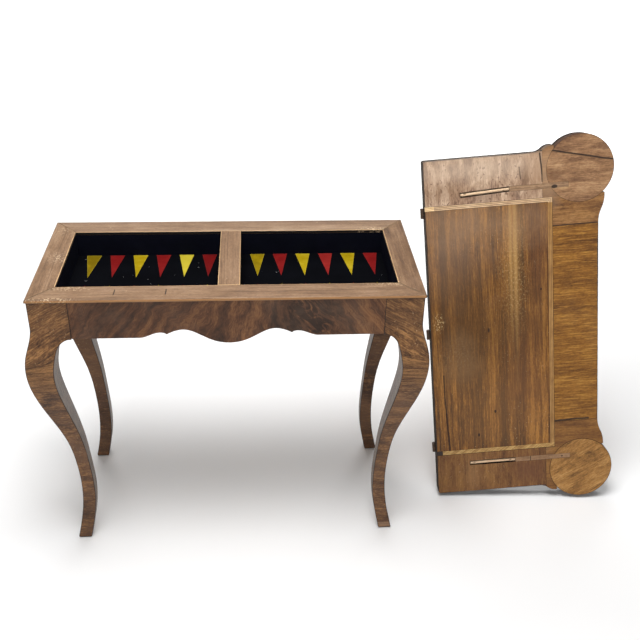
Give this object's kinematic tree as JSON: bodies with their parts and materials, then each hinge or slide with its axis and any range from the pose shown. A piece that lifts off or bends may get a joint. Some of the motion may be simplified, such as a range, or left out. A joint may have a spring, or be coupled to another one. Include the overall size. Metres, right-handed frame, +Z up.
{
  "type": "games table",
  "caption": "Walnut games table: cabriole-legged base with lined backgammon wells, and a hinged fold-over top with round outset corners that lifts off, shown stood beside it.",
  "frame": {"origin": "on the floor, under the middle of the box round the base and the top that stands beside it", "axes": "+X along the table towards the side where the top stands, +Y from the table's front to its back, +Z up"},
  "size_m": [1.5212, 0.4464, 0.9838],
  "materials": {
    "leg_walnut": "waxed figured walnut veneer",
    "apron_walnut": "waxed flame walnut veneer",
    "rim_walnut": "worn waxed walnut",
    "inner_pine": "bare softwood",
    "well_felt": "dark wool felt",
    "yellow_points": "glued felt",
    "red_points": "glued felt",
    "screw_steel": "dull",
    "hinge_iron": "dark old iron",
    "panel_walnut": "waxed straight-grained walnut",
    "border_walnut": "waxed walnut veneer",
    "disc_walnut": "waxed walnut veneer",
    "pale_bead": "pale reeded strip",
    "pale_key": "bare pale wood",
    "infill_wood": "bare fill strip"
  },
  "bodies": {
    "base": {"leg_front_left": "leg_walnut", "leg_front_right": "leg_walnut", "leg_back_left": "leg_walnut", "leg_back_right": "leg_walnut", "apron_front": "apron_walnut", "apron_back": "apron_walnut", "apron_left": "apron_walnut", "apron_right": "apron_walnut", "rim_front": "rim_walnut", "rim_back": "rim_walnut", "rim_left": "rim_walnut", "rim_right": "rim_walnut", "rim_divider": "rim_walnut", "well_wall_front": "inner_pine", "well_wall_back": "inner_pine", "well_wall_left": "inner_pine", "well_wall_right": "inner_pine", "well_partition": "inner_pine", "well_floor": "inner_pine", "floor_cleat_left": "inner_pine", "floor_cleat_right": "inner_pine", "glue_blocks": "inner_pine", "felt_floor_left": "well_felt", "felt_floor_right": "well_felt", "felt_walls_left": "well_felt", "felt_walls_right": "well_felt", "points_yellow": "yellow_points", "points_red": "red_points", "floor_screws": "screw_steel"},
    "lower_leaf": {"lower_leaf_panel": "panel_walnut", "lower_leaf_left_border": "border_walnut", "lower_leaf_right_border": "border_walnut", "lower_leaf_front_border": "border_walnut", "lower_leaf_left_corner": "border_walnut", "lower_leaf_right_corner": "border_walnut", "lower_leaf_left_disc": "disc_walnut", "lower_leaf_right_disc": "disc_walnut", "panel_beads": "pale_bead", "guide_key_left": "pale_key", "guide_key_right": "pale_key", "slot_infill_left": "infill_wood", "slot_infill_right": "infill_wood", "hinge_plates_lower": "hinge_iron", "hinge_screws_lower": "screw_steel", "hinge_pins": "hinge_iron"},
    "upper_leaf": {"upper_leaf_panel": "panel_walnut", "upper_leaf_left_border": "border_walnut", "upper_leaf_right_border": "border_walnut", "upper_leaf_front_border": "border_walnut", "upper_leaf_left_corner": "border_walnut", "upper_leaf_right_corner": "border_walnut", "upper_leaf_left_disc": "disc_walnut", "upper_leaf_right_disc": "disc_walnut", "hinge_plates_upper": "hinge_iron", "hinge_screws_upper": "screw_steel"}
  },
  "joints": [
    {"name": "top_lift", "type": "slide", "parent": "base", "child": "lower_leaf", "axis": [0.8, 0, 0.6], "range_m": [0, 0.6]},
    {"name": "leaf_fold", "type": "hinge", "parent": "lower_leaf", "child": "upper_leaf", "pos_m": [0.23287, 0.07631, 0.45209], "axis": [-0.0856, 0.2632, 0.9609], "range_deg": [0, 180]}
  ],
  "couplings": [
    {"joint": "top_lift", "follows": "leaf_fold", "m_per_rad": 0.19098}
  ]
}
